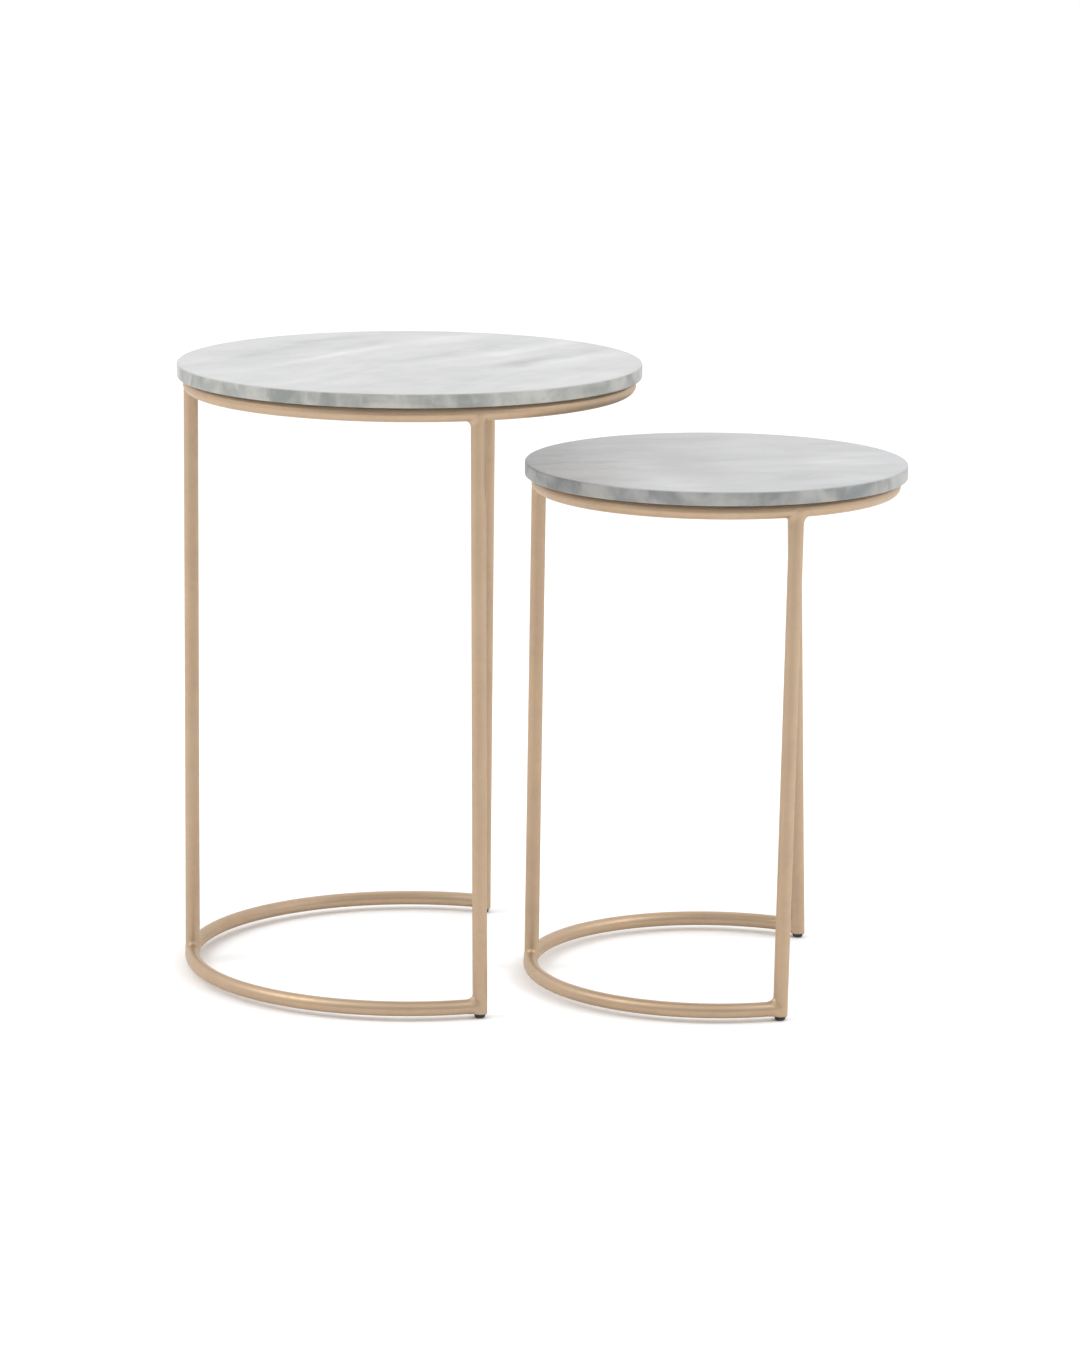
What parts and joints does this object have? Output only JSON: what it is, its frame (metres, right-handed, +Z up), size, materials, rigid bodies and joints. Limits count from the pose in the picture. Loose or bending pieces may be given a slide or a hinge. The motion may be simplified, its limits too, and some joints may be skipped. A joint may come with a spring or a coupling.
{
  "type": "nesting tables",
  "caption": "Round stone-topped side tables on welded tube frames with C-shaped bases; the smaller one slides in under the larger.",
  "frame": {"origin": "on the floor, under the middle of the whole set's bounding box, with the small table drawn out", "axes": "+X from the large table towards the side where the small table comes out, +Z up, -Y the front"},
  "size_m": [0.6369, 0.406, 0.542],
  "materials": {
    "large_marble": "honed grey-white marble with soft diagonal veins",
    "small_marble": "honed grey-white marble with soft diagonal veins",
    "frame_finish": "satin champagne metallic coat",
    "brass": "turned",
    "zinc_steel": "zinc plated",
    "clear_pad": "clear soft silicone",
    "dark_nylon": "moulded"
  },
  "bodies": {
    "large_table": {"large_marble_top": "large_marble", "large_top_ring": "frame_finish", "large_base_arc": "frame_finish", "large_left_leg": "frame_finish", "large_front_leg": "frame_finish", "large_rear_leg": "frame_finish", "large_ring_welds": "frame_finish", "large_base_welds": "frame_finish", "large_mounting_tabs": "frame_finish", "large_tab_welds": "frame_finish", "large_threaded_inserts": "brass", "large_tab_screws": "zinc_steel", "large_lock_washers": "zinc_steel", "large_tab_pads": "clear_pad", "large_ring_pads": "clear_pad", "large_leg_glides": "dark_nylon", "large_arc_glide": "dark_nylon"},
    "small_table": {"small_marble_top": "small_marble", "small_top_ring": "frame_finish", "small_base_arc": "frame_finish", "small_left_leg": "frame_finish", "small_front_leg": "frame_finish", "small_rear_leg": "frame_finish", "small_ring_welds": "frame_finish", "small_base_welds": "frame_finish", "small_mounting_tabs": "frame_finish", "small_tab_welds": "frame_finish", "small_threaded_inserts": "brass", "small_tab_screws": "zinc_steel", "small_lock_washers": "zinc_steel", "small_tab_pads": "clear_pad", "small_ring_pads": "clear_pad", "small_leg_glides": "dark_nylon", "small_arc_glide": "dark_nylon"}
  },
  "joints": [
    {"name": "nesting_slide", "type": "slide", "parent": "large_table", "child": "small_table", "axis": [-0.9864, 0.1645, 0], "range_m": [-0.12, 0.27]}
  ]
}
